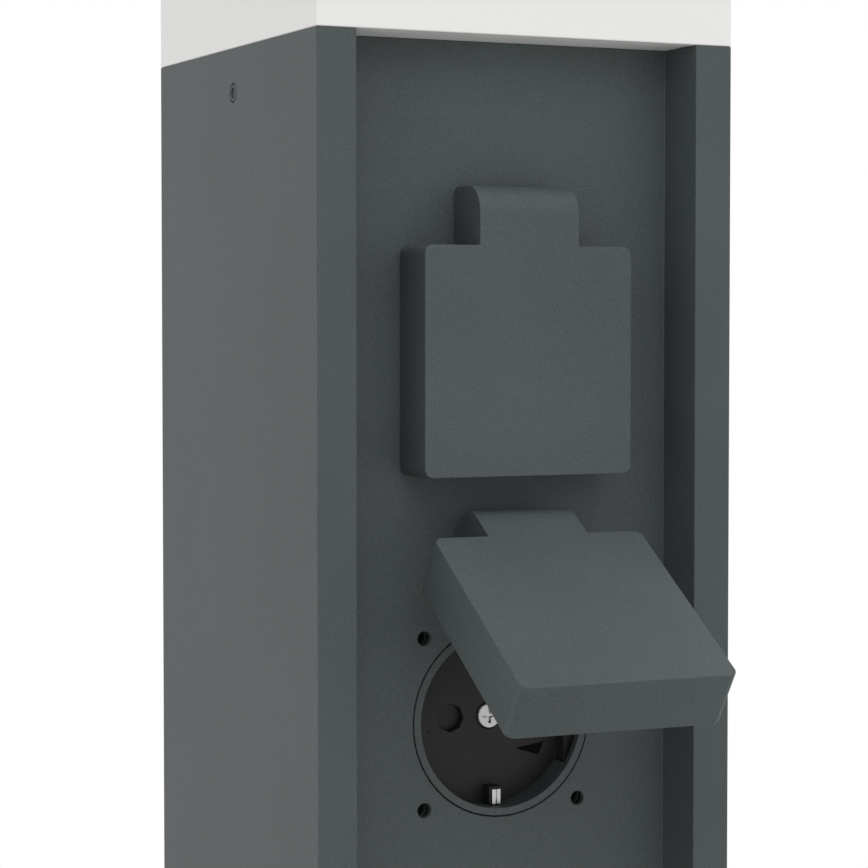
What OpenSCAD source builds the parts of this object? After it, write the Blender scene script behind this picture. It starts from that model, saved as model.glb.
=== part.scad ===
// Garden lamp post with two flap-covered sockets. Millimetres, +Z up.
// The origin is the centre of the anchor bolt square, on the ground.
// Depths are counted backwards (+Y) from the front face of the post.

/* [Post] */
// Outside width and depth of the square post
post_w = 100; // [96:1:120]
// Wall of the extruded post
post_wall = 2; // [1.6:0.2:3]
// Length of the post, from foot plate to lamp head
post_len = 672; // [560:4:900]
// Width of each flange beside the front channel
flange_w = 9; // [7.5:0.5:10]
// Depth of the front channel
channel_depth = 14; // [13.6:0.2:16]
// Outside radius of the round screw ports in the corners
port_r = 5.5; // [5:0.25:6]
// How far a screw port bites into the walls beside it
port_bite = 0.5; // [0.3:0.1:0.8]

/* [Foot] */
// Side of the square foot plate
foot_w = 160; // [150:2:190]
// Thickness of the foot plate
foot_plate_t = 6; // [5:0.5:10]
// Corner radius of the foot plate
foot_corner_r = 10; // [4:1:12]
// Thickness of the rubber pad under the foot plate
foot_seal_t = 2; // [1.5:0.5:4]
// Distance between anchor bolt centres
anchor_pitch = 128; // [124:1:132]
// Diameter of the anchor bolt holes
anchor_hole_d = 11; // [9:0.5:13]
// Radius of the screws that hold the foot plate to the post
foot_screw_r = 3; // [2.5:0.25:3.25]
// Length of those screws in the post
foot_screw_len = 20; // [14:1:30]
// Clear radius of the ground cable entry
cable_entry_r = 13; // [9:0.5:14]
// Wall of the rubber grommet in the cable entry
grommet_wall = 3; // [2:0.25:3.5]
// Height of the grommet's collar on the foot plate
grommet_collar_t = 2; // [1:0.5:3]
// Distance of the cable entry in front of the mounting rail
cable_set = 21; // [20:0.5:23]

/* [Lamp head] */
// Height of the lamp head
head_h = 120; // [100:2:180]
// Wall of the opal hood
hood_wall = 3; // [2.5:0.25:4]
// Thickness of the head base plate
head_base_t = 4; // [3:0.5:6]
// How far the tabs of the head base reach into the post
head_tab_h = 18; // [15:1:22]
// Thickness of those tabs
head_tab_t = 4; // [3:0.5:5]
// Radius of the set screws in the side of the post
set_screw_r = 2; // [1.5:0.25:2.5]
// Depth of the set screws below the lamp head
set_screw_drop = 10; // [8:0.5:11]
// Thickness of the seal between hood and head base
hood_seal_t = 2; // [1.5:0.5:3]
// Height of the pillars under the lamp plate
pillar_h = 6; // [5:0.5:10]
// Side of the aluminium lamp plate
lamp_plate_w = 76; // [70:1:78]
// Thickness of the lamp plate
lamp_plate_t = 2; // [1.5:0.5:4]
// Side of the circuit board on the lamp plate
board_w = 72; // [68:1:76]
// Thickness of the circuit board
board_t = 1.6; // [1:0.2:2.4]
// Light chips along each side of the board
chip_rows = 4; // [3:1:5]
// Distance between light chips
chip_pitch = 12; // [8:1:12]
// Side of a light chip
chip_w = 3.5; // [2:0.5:5]
// Height of a light chip
chip_t = 0.8; // [0.5:0.1:1.5]

/* [Sockets] */
// Drop of the upper flap's top edge below the lamp head
flap_drop = 45; // [44:0.5:60]
// Distance between the upper and the lower socket
socket_pitch = 77.2; // [77:0.2:90]
// Drop of the socket centre below its flap's top edge
socket_drop = 27.8; // [27:0.1:28]
// Radius of the round cut-out in the post
cutout_r = 21.8; // [21.7:0.05:22]
// Gap between the cut-out and the socket collar
collar_gap = 0.3; // [0.25:0.05:0.5]
// Inside radius of the socket collar, where the plug goes in
plug_r = 19.8; // [19.5:0.1:20]
// Depth of the plug recess behind the collar's face
plug_depth = 7; // [6.5:0.25:9]
// Distance between the two plug pins
pin_pitch = 19; // [18.8:0.1:19.2]
// Radius of the pin bores behind the insert
pin_bore_r = 2.75; // [2.6:0.05:2.9]
// Corner radius of the eight-sided pin holes in the insert
pin_hole_r = 3.25; // [3.1:0.05:3.4]
// Distance between the four small holes around a socket
hole_pitch = 38; // [37.8:0.1:38.2]
// Radius of those four holes
hole_r = 1.6; // [1.4:0.05:1.7]
// Thickness of the carrier casting behind the post wall
carrier_t = 3; // [2.75:0.25:3.5]
// Thickness of the flat seal between post wall and carrier
panel_seal_t = 1.5; // [1.2:0.1:1.8]
// Reach of the carrier's rear tube behind the plug recess
skirt_len = 15; // [14:0.5:18]
// Wall of the carrier's rear tube
skirt_wall = 2; // [1.6:0.1:2.2]
// Radius of the welded studs that hold a carrier
stud_r = 2; // [1.75:0.25:2.25]
// Radius of the carrier's pad around each stud
stud_pad_r = 5; // [4.5:0.1:5.2]
// Inside radius of the contact sleeves, which grip the pins
grip_r = 2.4; // [2.3:0.05:2.45]
// Half angle of the guide notches in the collar
notch_angle = 33.4; // [32:0.2:35]
// Opening angle that uncovers the pin holes
shutter_turn = 50; // [48:1:56]
// Length of the rear box behind the carrier
rear_box_len = 41.5; // [40:0.5:44]
// Wall of the rear box
rear_box_wall = 2; // [1.6:0.1:2.2]

/* [Flaps] */
// Side of the square flap
flap_w = 50; // [49.8:0.1:52]
// Corner radius of the flap
flap_corner_r = 2; // [1.5:0.5:5]
// How far the flap's face stands back from the post's face
flap_inset = 0.5; // [0.3:0.1:0.8]
// Gap between the closed flap and the channel floor
flap_gap = 0.2; // [0.2:0.05:0.3]
// Thickness of the flap's walls
flap_wall = 1.5; // [1.2:0.1:1.6]
// Width of the hinge tab
tab_w = 24; // [22:0.5:28]
// Height of the hinge tab above the flap
tab_h = 13; // [12.8:0.1:14]
// Radius of the tab's upper front edge
tab_front_r = 6; // [4:0.25:7]
// Radius of the tab around the hinge pin
barrel_r = 1.8; // [1.7:0.05:1.9]
// Radius of the hinge pin
hinge_pin_r = 1; // [0.9:0.05:1.05]
// Width of the fixed knuckle
knuckle_w = 10; // [8:0.5:12]
// Opening angle at which the lower flap is shown
lower_open = 57.5; // [0:0.5:87.5]

/* [Inside] */
// Height of the junction box's lower face above the ground
box_z = 330; // [300:2:340]
// Size of the junction box: width, depth, height
box_size = [72, 38, 90];
// Wall of the junction box
box_wall = 2.2; // [1.8:0.1:3]
// Distance of the mounting rail in front of the post's back wall
rail_set = 13; // [12:0.5:13.5]
// Width of the mounting rail
rail_w = 30; // [24:1:34]
// Thickness of the mounting rail
rail_t = 2; // [1.5:0.5:3]
// Bore of the supply gland
gland_bore_r = 6.5; // [5:0.25:7]
// Length of the supply gland below the box
gland_len = 25; // [20:1:30]
// Radius of the sheathed socket leads
lead_r = 4; // [3.5:0.25:4.25]
// Radius of the lamp lead
lamp_lead_r = 3; // [2.5:0.25:3.5]
// Bend radius of the socket leads
lead_bend = 10; // [8:0.5:10]

/* [Hidden] */
$fn = 72;
// running clearance, loose clearance and the clearance of a held thread
run_gap = 0.04;
loose = 0.2;
thread_gap = 0.02;
eps = 0.01;

half = post_w / 2;
front_y = -half;
inner_x = half - post_wall;
back_y = half - post_wall;
panel_d = channel_depth;
panel_back = channel_depth + post_wall;
z_plate = foot_seal_t;
z_post = foot_seal_t + foot_plate_t;
z_head = z_post + post_len;
port_x = inner_x - port_r + port_bite;
port_front_y = front_y + panel_back + port_r - port_bite;
port_back_y = back_y - port_r + port_bite;
rail_y = back_y - rail_set;
cable_y = rail_y - cable_set;

// hinge and socket heights, upper then lower
flap_top = [z_head - flap_drop, z_head - flap_drop - socket_pitch];
pivot_up = tab_h - barrel_r;
flap_back = panel_d - flap_gap;
pivot_d = flap_back - barrel_r;
socket_z = [flap_top[0] - socket_drop, flap_top[1] - socket_drop];
pivot_z = [flap_top[0] + pivot_up, flap_top[1] + pivot_up];
pivot_over_socket = socket_drop + pivot_up;

// depths of the socket's pieces
floor_d = panel_d + plug_depth;
carrier_d = panel_back + panel_seal_t;
carrier_back = carrier_d + carrier_t;
skirt_end = floor_d + skirt_len;
collar_r = cutout_r - collar_gap;
ledge = 0.8;
skirt_in = plug_r + ledge;
skirt_out = skirt_in + skirt_wall;
insert_r = skirt_in - loose;
insert_front_t = 1.6;
strap_room = 2.5;
insert_rim = 2;
right_mark = [[6.8, -7.9], [14, -6.8], [12.6, -9.7]];
left_mark = [[-14.8, -3], [-18, -2.1], [-18, -3.5]];
insert_len = skirt_len - 3;
boss_r = 4;
shutter_gap = 0.2;
shutter_t = 1.2;
shutter_reach = pin_pitch / 2 + pin_hole_r + 1.25;
blade_margin = 6;
shutter_half = shutter_turn - asin(pin_hole_r / (pin_pitch / 2)) - blade_margin;
base_d = floor_d + insert_front_t + 2 * shutter_gap + shutter_t + strap_room;
base_r = insert_r - insert_rim - loose;
base_flange_t = 3;
base_body_r = 17;
base_len = 17;
contact_wall = 1;
contact_r = grip_r + contact_wall;
contact_mouth_r = grip_r + 0.55;
contact_mouth = 2.5;
contact_d = floor_d + 13.2;
contact_len = 16;
strap_t = 1.2;
strap_half = 3;
clip_w = 2.1;
clip_h = 3.4;
clip_out = plug_r - 0.3;
clip_rise = 4.1;
clip_t = 0.5;
tongue_w = 1.2;
tongue_h = 1;
clip_post_w = 3.1;
clip_post_h = 3.9;
tongue_z = clip_out - clip_post_h / 2;
centre_screw_r = 2;
centre_head_r = 2.95;
centre_head_t = 1.2;
rib_x = 17;
rib_rise = 4;
rib_half = rib_x * tan(notch_angle) - loose;
notch_rise = 5;
box_in_r = skirt_out + 0.5;
box_out_r = box_in_r + rear_box_wall;
box_flange_t = 2;
box_back = carrier_back + rear_box_len;
seal_bore_r = cutout_r + 0.2;
carrier_half = port_x - port_r - 1;
stud_x = carrier_half - stud_pad_r;
seal_gap = 0.5;
seal_limit = 26;
seal_half = min(seal_limit, stud_x - stud_pad_r - seal_gap);
carrier_low = 32.5;
carrier_high = pivot_over_socket + 4.5;
stud_low = 24;
stud_high = 36;
stud_len = 11;
nut_af = stud_r * 3.5;
nut_t = 3.2;
flange_gap = 0.4;
flange_limit = 27.5;
flange_edge = 3;
box_flange = min(flange_limit, stud_x - nut_af / 2 - flange_gap);
box_hole = box_flange - flange_edge;
neck_low = barrel_r - 0.1;
neck_high = 0.9;
knuckle_r = barrel_r - 0.1;
slot_gap = 0.3;
washer_t = 0.5;
washer_gap = 0.05;
tab_slot = knuckle_w / 2 + washer_t + 2 * washer_gap;

// lamp head levels
base_top = z_head + head_base_t;
seal_top = base_top + hood_seal_t;
lamp_plate_z = base_top + pillar_h;
board_z = lamp_plate_z + lamp_plate_t;
chip_z = board_z + board_t;
hood_in = half - hood_wall;
base_half = hood_in - 0.3;
tab_set = 0.3;
side_tab_half = -port_front_y - port_r - 1.5;
end_tab_half = side_tab_half + 3;
m3_r = 1.5;
m3_head_r = 2.6;
m3_head_t = 1.8;
corner_x = inner_x - m3_head_r - 1.8;
boss_out_r = 4;
hood_screw_grip = 9;
ledge_w = 2.5;
ledge_t = 2;
hood_boss_h = 14;
pillar_x = lamp_plate_w / 2 - 6;
driver_size = [52, 46, 26];
driver_y = 11;
ear_w = 8;
ear_t = 4;

// inside
box_back_y = rail_y;
box_front_y = rail_y - box_size[1];
box_top = box_z + box_size[2];
cover_t = 2.5;
outlet_x = 16;
outlet_set = 9;
outlet_y = rail_y - outlet_set;
rail_over = 20;
rail_top = box_top + rail_over;
m4_r = 2;
m4_head_r = 3.8;
earth_z = 48;
earth_x = -8;
earth_lead_r = 1.5;
earth_lead_y = rail_y - box_wall - 1.8;
earth_stud_r = 3;
earth_nut_r = 5.5;
earth_nut_t = 4;
earth_flange_t = 3;
earth_ring_r = 6.5;
earth_reach = 11;
gland_r = 10;
terminal_size = [50, 11, 20];
poles = 5;
lead_entry = 8;
link_entry = 14;

slate = "#4d5656";
opal = "#efeeec";

// A box between two corners
module block(a, b) {
    translate(a) cube(b - a);
}

// A box given by its half width, its two depths and its two heights
module slab(hx, d0, d1, z0, z1) {
    block([-hx, front_y + d0, z0], [hx, front_y + d1, z1]);
}

// A round bar along Y between two depths
module bar_y(r, d0, d1) {
    translate([0, front_y + d0, 0]) rotate([-90, 0, 0]) cylinder(r = r, h = d1 - d0);
}

// A tube along Y between two depths
module tube_y(ro, ri, d0, d1) {
    difference() {
        bar_y(ro, d0, d1);
        bar_y(ri, d0 - 1, d1 + 1);
    }
}

// A round bar along X
module bar_x(r, x0, x1) {
    translate([x0, 0, 0]) rotate([0, 90, 0]) cylinder(r = r, h = x1 - x0);
}

// A tube along Z
module tube_z(ro, ri, z0, z1) {
    translate([0, 0, z0]) difference() {
        cylinder(r = ro, h = z1 - z0);
        translate([0, 0, -1]) cylinder(r = ri, h = z1 - z0 + 2);
    }
}

// The four corners of a square, along X and Z or along X and Y
module four_xz(p) {
    for (sx = [-1, 1]) for (sz = [-1, 1]) translate([sx * p, 0, sz * p]) children();
}
module four_xy(p) {
    for (sx = [-1, 1]) for (sy = [-1, 1]) translate([sx * p, sy * p, 0]) children();
}

// A square plate given by its half width, centred, standing on z = 0
module square_plate(h, t) {
    block([-h, -h, 0], [h, h, t]);
}

// A square plate with round corners, centred, standing on z = 0
module round_plate(w, r, t) {
    block([-w / 2 + r, -w / 2, 0], [w / 2 - r, w / 2, t]);
    block([-w / 2, -w / 2 + r, 0], [w / 2, w / 2 - r, t]);
    four_xy(w / 2 - r) cylinder(r = r, h = t);
}

// Places of the four screw ports
module at_ports() {
    for (s = [-1, 1]) {
        translate([s * port_x, port_front_y, 0]) children();
        translate([s * port_x, port_back_y, 0]) children();
    }
}

// Places of the four studs behind one socket
module at_studs() {
    for (s = [-1, 1]) {
        translate([s * stud_x, 0, -stud_low]) children();
        translate([s * stud_x, 0, stud_high]) children();
    }
}

module at_socket(i) {
    translate([0, 0, socket_z[i]]) children();
}

// Turns a flap's pieces about the hinge pin: 0 is shut
module at_hinge(i) {
    translate([0, front_y + pivot_d, pivot_z[i]])
        rotate([i == 0 ? 0 : -lower_open, 0, 0]) children();
}

// Pan-head screw along +Z, its head's underside at z = 0, its shank going down
module pan_screw(r, head_r, head_t, len) {
    translate([0, 0, -len]) cylinder(r = r, h = len + eps);
    difference() {
        cylinder(r = head_r, h = head_t);
        translate([0, 0, head_t - 1]) cross_recess(head_r, 2);
    }
}

// Cross recess for a driver bit
module cross_recess(head_r, h) {
    w = head_r * 0.28;
    l = head_r * 1.15;
    translate([-l / 2, -w / 2, 0]) cube([l, w, h]);
    translate([-w / 2, -l / 2, 0]) cube([w, l, h]);
}

// Post: one aluminium extrusion with its channel, screw ports and machined cut-outs
module post_profile() {
    difference() {
        translate([-half, -half]) square(post_w);
        translate([-half + flange_w, -half - 1]) square([post_w - 2 * flange_w, channel_depth + 1]);
        translate([-inner_x, front_y + panel_back]) square([2 * inner_x, back_y - front_y - panel_back]);
        for (s = [-1, 1])
            translate([s * (half - flange_w / 2) - flange_w / 2 + post_wall, front_y + post_wall])
                square([flange_w - 2 * post_wall, panel_back - post_wall + eps]);
    }
}

module post() {
    color(slate) difference() {
        union() {
            translate([0, 0, z_post]) linear_extrude(post_len) post_profile();
            at_ports() translate([0, 0, z_post]) cylinder(r = port_r, h = post_len);
        }
        at_ports() translate([0, 0, z_post - 1])
            cylinder(r = foot_screw_r + thread_gap, h = post_len + 2);
        for (i = [0, 1]) {
            at_socket(i) bar_y(cutout_r, panel_d - 1, panel_back + 1);
            at_socket(i) four_xz(hole_pitch / 2) bar_y(hole_r, panel_d - 1, panel_back + 1);
            translate([0, 0, pivot_z[i]])
                slab(knuckle_w / 2 + 2 * loose, panel_d - 1, panel_back + 1,
                    -barrel_r - loose, barrel_r + 0.1);
        }
        translate([0, 0, z_head - set_screw_drop]) {
            bar_x(set_screw_r + loose, -half - 1, -inner_x + 1);
            bar_x(set_screw_r + loose, inner_x - 1, half + 1);
        }
    }
}

// Studs welded to the back of the channel floor, four to a socket
module panel_studs() {
    color("silver") for (i = [0, 1]) at_socket(i) at_studs()
        bar_y(stud_r, panel_back, panel_back + stud_len);
}

// Nuts that clamp the carriers
module carrier_nuts() {
    color("silver") for (i = [0, 1]) at_socket(i) at_studs()
        translate([0, front_y + carrier_back, 0]) rotate([-90, 30, 0]) difference() {
            cylinder(r = nut_af / sqrt(3), h = nut_t, $fn = 6);
            translate([0, 0, -1]) cylinder(r = stud_r + thread_gap, h = nut_t + 2);
        }
}

// Foot plate with anchor holes and countersunk post screws
module foot_plate() {
    color(slate) difference() {
        translate([0, 0, z_plate]) round_plate(foot_w, foot_corner_r, foot_plate_t);
        four_xy(anchor_pitch / 2) cylinder(r = anchor_hole_d / 2, h = z_post + 1);
        translate([0, cable_y, 0]) cylinder(r = cable_entry_r + grommet_wall, h = z_post + 1);
        at_ports() foot_screw_space();
        at_rail_screws() translate([0, 0, z_plate - 1])
            cylinder(r = m4_r + thread_gap, h = foot_plate_t + 2);
    }
}

module foot_screw_space() {
    translate([0, 0, z_plate - 1]) cylinder(r = foot_screw_r + loose, h = foot_plate_t + 2);
    translate([0, 0, z_plate - eps])
        cylinder(r1 = 2 * foot_screw_r + loose, r2 = foot_screw_r + loose, h = foot_screw_r + eps);
}

// Countersunk screws from below into the post's screw ports
module foot_screws() {
    color("silver") at_ports() translate([0, 0, z_plate]) difference() {
        union() {
            cylinder(r1 = 2 * foot_screw_r - loose, r2 = foot_screw_r, h = foot_screw_r - loose);
            cylinder(r = foot_screw_r, h = foot_plate_t + foot_screw_len);
        }
        translate([0, 0, -eps]) cylinder(r = foot_screw_r * 0.75, h = 2, $fn = 6);
    }
}

// Rubber pad between foot plate and ground
module foot_seal() {
    color("#1c1c1c") difference() {
        round_plate(foot_w - 2, foot_corner_r - 1, foot_seal_t);
        four_xy(anchor_pitch / 2) translate([0, 0, -1])
            cylinder(r = anchor_hole_d / 2, h = foot_seal_t + 2);
        translate([0, cable_y, -1]) cylinder(r = cable_entry_r + grommet_wall, h = foot_seal_t + 2);
    }
}

// Rubber grommet that lines the cable entry
module cable_grommet() {
    color("#222222") translate([0, cable_y, 0]) {
        tube_z(cable_entry_r + grommet_wall - 0.05, cable_entry_r, z_plate, z_post + grommet_collar_t);
        tube_z(cable_entry_r + grommet_wall + 2, cable_entry_r, z_post, z_post + grommet_collar_t);
    }
}

// Mounting rail: an upright steel strip with a foot
rail_foot = rail_set - 1;
module at_rail_screws() {
    for (s = [-1, 1]) translate([s * rail_w / 3, rail_y + rail_t + 5, 0]) children();
}

module rail() {
    color("#b9bcbe") difference() {
        union() {
            block([-rail_w / 2, rail_y, z_post], [rail_w / 2, rail_y + rail_t, rail_top]);
            block([-rail_w / 2, rail_y, z_post], [rail_w / 2, rail_y + rail_foot, z_post + rail_t]);
        }
        at_rail_screws() translate([0, 0, z_post - 1]) cylinder(r = m4_r + loose, h = rail_t + 2);
        at_box_screws() rotate([-90, 0, 0]) translate([0, 0, -1])
            cylinder(r = m4_r + thread_gap, h = rail_t + 2);
        translate([earth_x, rail_y - 1, earth_z]) rotate([-90, 0, 0])
            cylinder(r = earth_stud_r + thread_gap, h = rail_t + 2);
    }
}

module rail_screws() {
    color("silver") at_rail_screws() translate([0, 0, z_post + rail_t])
        pan_screw(m4_r, m4_head_r - 0.3, 2.4, rail_t + foot_plate_t - 1);
}

// Junction box on the rail: an open tray with a cover
cover_screw_x = box_size[0] / 2 - 5;
cover_screw_z = box_size[2] / 2 - 5;
cover_hole_len = 14;
module at_box_screws() {
    for (s = [-1, 1]) translate([0, rail_y, (box_z + box_top) / 2 + s * box_size[2] / 3]) children();
}
module at_cover_screws() {
    translate([0, box_front_y - cover_t, (box_z + box_top) / 2])
        for (sx = [-1, 1]) for (sz = [-1, 1])
            translate([sx * cover_screw_x, 0, sz * cover_screw_z]) children();
}

module junction_box() {
    color("#d5d6d4") difference() {
        union() {
            difference() {
                block([-box_size[0] / 2, box_front_y, box_z], [box_size[0] / 2, box_back_y, box_top]);
                block([-box_size[0] / 2 + box_wall, box_front_y - 1, box_z + box_wall],
                    [box_size[0] / 2 - box_wall, box_back_y - box_wall, box_top - box_wall]);
            }
            at_cover_screws() translate([0, cover_t, 0]) rotate([-90, 0, 0])
                cylinder(r = 4.5, h = box_size[1] - 1);
        }
        at_cover_screws() rotate([-90, 0, 0]) cylinder(r = m4_r + thread_gap, h = cover_hole_len);
        at_box_screws() rotate([90, 0, 0]) translate([0, 0, -1])
            cylinder(r = m4_r + loose, h = box_wall + 2);
        translate([0, cable_y, box_z - 1]) cylinder(r = gland_r - 2, h = box_wall + 2);
        translate([earth_x, earth_lead_y, box_z - 1])
            cylinder(r = earth_lead_r + loose, h = box_wall + 2);
        for (s = [-1, 1]) translate([s * outlet_x, outlet_y, box_top - box_wall - 1])
            cylinder(r = lead_r + 2, h = box_wall + 2);
    }
}

module junction_cover() {
    color("#d5d6d4") difference() {
        block([-box_size[0] / 2, box_front_y - cover_t, box_z], [box_size[0] / 2, box_front_y, box_top]);
        at_cover_screws() translate([0, -1, 0]) rotate([-90, 0, 0])
            cylinder(r = m4_r + loose, h = cover_t + 2);
    }
}

module junction_screws() {
    color("silver") {
        at_cover_screws() rotate([90, 0, 0]) pan_screw(m4_r, m4_head_r, 2.4, 10);
        at_box_screws() translate([0, -box_wall, 0]) rotate([90, 0, 0])
            pan_screw(m4_r, m4_head_r, 2.4, box_wall + rail_t + 1);
    }
}

// Terminal strip on the back wall of the box
terminal_y = rail_y - box_wall - terminal_size[1];
terminal_z = (box_z + box_top) / 2 - terminal_size[2] / 2;
module at_poles() {
    for (k = [0 : poles - 1]) for (s = [-1, 1])
        translate([(k - (poles - 1) / 2) * terminal_size[0] / poles, terminal_y,
            terminal_z + terminal_size[2] / 2 + s * terminal_size[2] / 4]) rotate([-90, 0, 0]) children();
}

module terminal_block() {
    color("#e8e6df") difference() {
        block([-terminal_size[0] / 2, terminal_y, terminal_z],
            [terminal_size[0] / 2, terminal_y + terminal_size[1], terminal_z + terminal_size[2]]);
        at_poles() translate([0, 0, -1]) cylinder(r = m4_r + thread_gap, h = 8);
    }
}

module terminal_screws() {
    color("#b59a4c") at_poles() translate([0, 0, 1.5]) difference() {
        cylinder(r = m4_r, h = 5);
        translate([-m4_r, -0.3, -eps]) cube([2 * m4_r, 0.6, 0.8]);
    }
}

// Supply gland under the box, in line with the ground cable entry
module supply_gland() {
    color("#3a3d40") translate([0, cable_y, 0]) difference() {
        union() {
            translate([0, 0, box_z - 8]) cylinder(r = gland_r + 2, h = 8, $fn = 6);
            translate([0, 0, box_z - gland_len]) cylinder(r = gland_r, h = gland_len);
            translate([0, 0, box_z - 1]) cylinder(r = gland_r - 2 - loose / 2, h = box_wall + 5);
        }
        translate([0, 0, box_z - gland_len - 1])
            cylinder(r = gland_bore_r, h = gland_len + box_wall + 10);
    }
}

// Rubber grommets where the leads leave the box
module outlet_grommets() {
    color("#222222") for (s = [-1, 1]) translate([s * outlet_x, outlet_y, 0]) {
        r = s < 0 ? lead_r : lamp_lead_r;
        tube_z(lead_r + 1.9, r + 0.05, box_top - box_wall, box_top);
        tube_z(lead_r + 3.5, r + 0.05, box_top, box_top + 2);
    }
}

// Earth stud through the rail: a flanged stud with a nut on each side
module earth_stud() {
    color("#b59a4c") translate([earth_x, rail_y, earth_z]) rotate([-90, 0, 0]) {
        translate([0, 0, -earth_flange_t]) cylinder(r = earth_nut_r, h = earth_flange_t, $fn = 6);
        translate([0, 0, -earth_reach])
            cylinder(r = earth_stud_r, h = earth_reach + rail_t + earth_nut_t + 2);
        for (z = [2 - earth_reach, rail_t]) translate([0, 0, z]) difference() {
            cylinder(r = earth_nut_r, h = earth_nut_t, $fn = 6);
            translate([0, 0, -1]) cylinder(r = earth_stud_r + thread_gap, h = earth_nut_t + 2);
        }
    }
}

// Earth lead: its ring sits on the stud, its upper end in the box
module earth_lead() {
    d = half + earth_lead_y;
    color("#9bb02c") translate([earth_x, 0, 0]) {
        translate([0, 0, earth_z]) tube_y(earth_ring_r, earth_stud_r + 0.1, d - 0.8, d + 0.8);
        z0 = earth_z + earth_ring_r - 1;
        translate([0, earth_lead_y, z0]) cylinder(r = earth_lead_r, h = box_z + box_wall + 6 - z0);
    }
}

// A quarter bend of a lead, from straight up to straight forward
module lead_up_to_front(r) {
    translate([0, -lead_bend, 0]) rotate([90, 0, 90]) rotate_extrude(angle = 90)
        translate([lead_bend, 0]) circle(r = r);
}

// Leads to the sockets: box to lower socket, lower socket to upper socket
module socket_leads() {
    cap_y = front_y + box_back;
    run = outlet_y - lead_bend - cap_y;
    turn_low = socket_z[1] + lead_entry - lead_bend;
    color("#242424") {
        translate([-outlet_x, outlet_y, box_top - box_wall])
            cylinder(r = lead_r, h = turn_low - box_top + box_wall);
        translate([-outlet_x, outlet_y, turn_low]) lead_up_to_front(lead_r);
        translate([-outlet_x, cap_y, turn_low + lead_bend]) rotate([-90, 0, 0])
            cylinder(r = lead_r, h = run);
        z0 = socket_z[1] + link_entry + lead_bend;
        z1 = socket_z[0] - link_entry - lead_bend;
        translate([0, outlet_y, z0]) cylinder(r = lead_r, h = z1 - z0);
        translate([0, outlet_y, z1]) lead_up_to_front(lead_r);
        translate([0, outlet_y, z0]) mirror([0, 0, 1]) lead_up_to_front(lead_r);
        for (z = [z0 - lead_bend, z1 + lead_bend])
            translate([0, cap_y, z]) rotate([-90, 0, 0]) cylinder(r = lead_r, h = run);
    }
}

// Lead to the driver, and two thin leads from the driver to the board
module lamp_leads() {
    z1 = z_head - driver_size[2];
    color("#242424") translate([outlet_x, outlet_y, box_top - box_wall])
        cylinder(r = lamp_lead_r, h = z1 - box_top + box_wall);
    color("#8a2b24") for (s = [-1, 1]) translate([s * 2.5, driver_y, z_head])
        cylinder(r = 1, h = lamp_plate_z - z_head);
}

// Head base: white plate that closes the head, with tabs that enter the post
module head_base() {
    color(opal) difference() {
        union() {
            translate([0, 0, z_head]) square_plate(base_half, head_base_t);
            four_xy(pillar_x) translate([0, 0, base_top - eps]) cylinder(r = 3.5, h = pillar_h + eps);
            for (s = [0, 1]) mirror([s, 0, 0])
                block([-inner_x + tab_set, -side_tab_half, z_head - head_tab_h],
                    [-inner_x + tab_set + head_tab_t, side_tab_half, z_head]);
            for (d = [panel_back + tab_set, half + back_y - tab_set - head_tab_t])
                slab(end_tab_half, d, d + head_tab_t, z_head - head_tab_h, z_head);
        }
        translate([0, driver_y, z_head - 1]) cylinder(r = 5, h = head_base_t + 2);
        four_xy(corner_x) {
            translate([0, 0, z_head - 1]) cylinder(r = m3_r + 0.1, h = head_base_t + 2);
            translate([0, 0, z_head - eps]) cylinder(r1 = m3_head_r, r2 = m3_r + 0.1, h = 1.4);
        }
        four_xy(pillar_x) translate([0, 0, lamp_plate_z - 5]) cylinder(r = m3_r + thread_gap, h = 6);
        for (s = [-1, 1]) translate([s * (driver_size[0] + ear_w) / 2, driver_y, z_head - eps])
            cylinder(r = m3_r + thread_gap, h = head_base_t - 1);
        translate([0, 0, z_head - set_screw_drop])
            bar_x(set_screw_r + thread_gap, -inner_x - 1, inner_x + 1);
    }
}

// Opal hood: a square box, open below, with an inner ledge and four screw bosses
module hood() {
    color(opal) difference() {
        union() {
            difference() {
                translate([0, 0, z_head]) square_plate(half, head_h);
                translate([0, 0, z_head - 1]) square_plate(hood_in, head_h - hood_wall + 1);
            }
            difference() {
                translate([0, 0, seal_top + 0.1]) square_plate(hood_in + eps, ledge_t);
                translate([0, 0, seal_top]) square_plate(hood_in - ledge_w, ledge_t + 1);
            }
            four_xy(corner_x) translate([0, 0, seal_top + 0.1])
                cylinder(r = boss_out_r, h = hood_boss_h);
        }
        four_xy(corner_x) translate([0, 0, seal_top - 1]) cylinder(r = m3_r + thread_gap, h = 12);
    }
}

// Rubber seal between hood and head base
module hood_seal() {
    color("#2a2a2a") difference() {
        union() {
            difference() {
                translate([0, 0, base_top]) square_plate(hood_in - loose, hood_seal_t);
                translate([0, 0, base_top - 1]) square_plate(hood_in - ledge_w - 0.5, hood_seal_t + 2);
            }
            intersection() {
                four_xy(corner_x) translate([0, 0, base_top]) cylinder(r = boss_out_r, h = hood_seal_t);
                translate([0, 0, base_top]) square_plate(hood_in - loose, hood_seal_t);
            }
        }
        four_xy(corner_x) translate([0, 0, base_top - 1])
            cylinder(r = m3_r + loose, h = hood_seal_t + 2);
    }
}

// Countersunk screws from below that hold the hood
module hood_screws() {
    color("silver") four_xy(corner_x) translate([0, 0, z_head]) difference() {
        union() {
            cylinder(r1 = m3_head_r - 0.1, r2 = m3_r, h = 1.3);
            cylinder(r = m3_r, h = head_base_t + hood_seal_t + hood_screw_grip);
        }
        translate([0, 0, -1]) cross_recess(m3_head_r, 1.8);
    }
}

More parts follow.
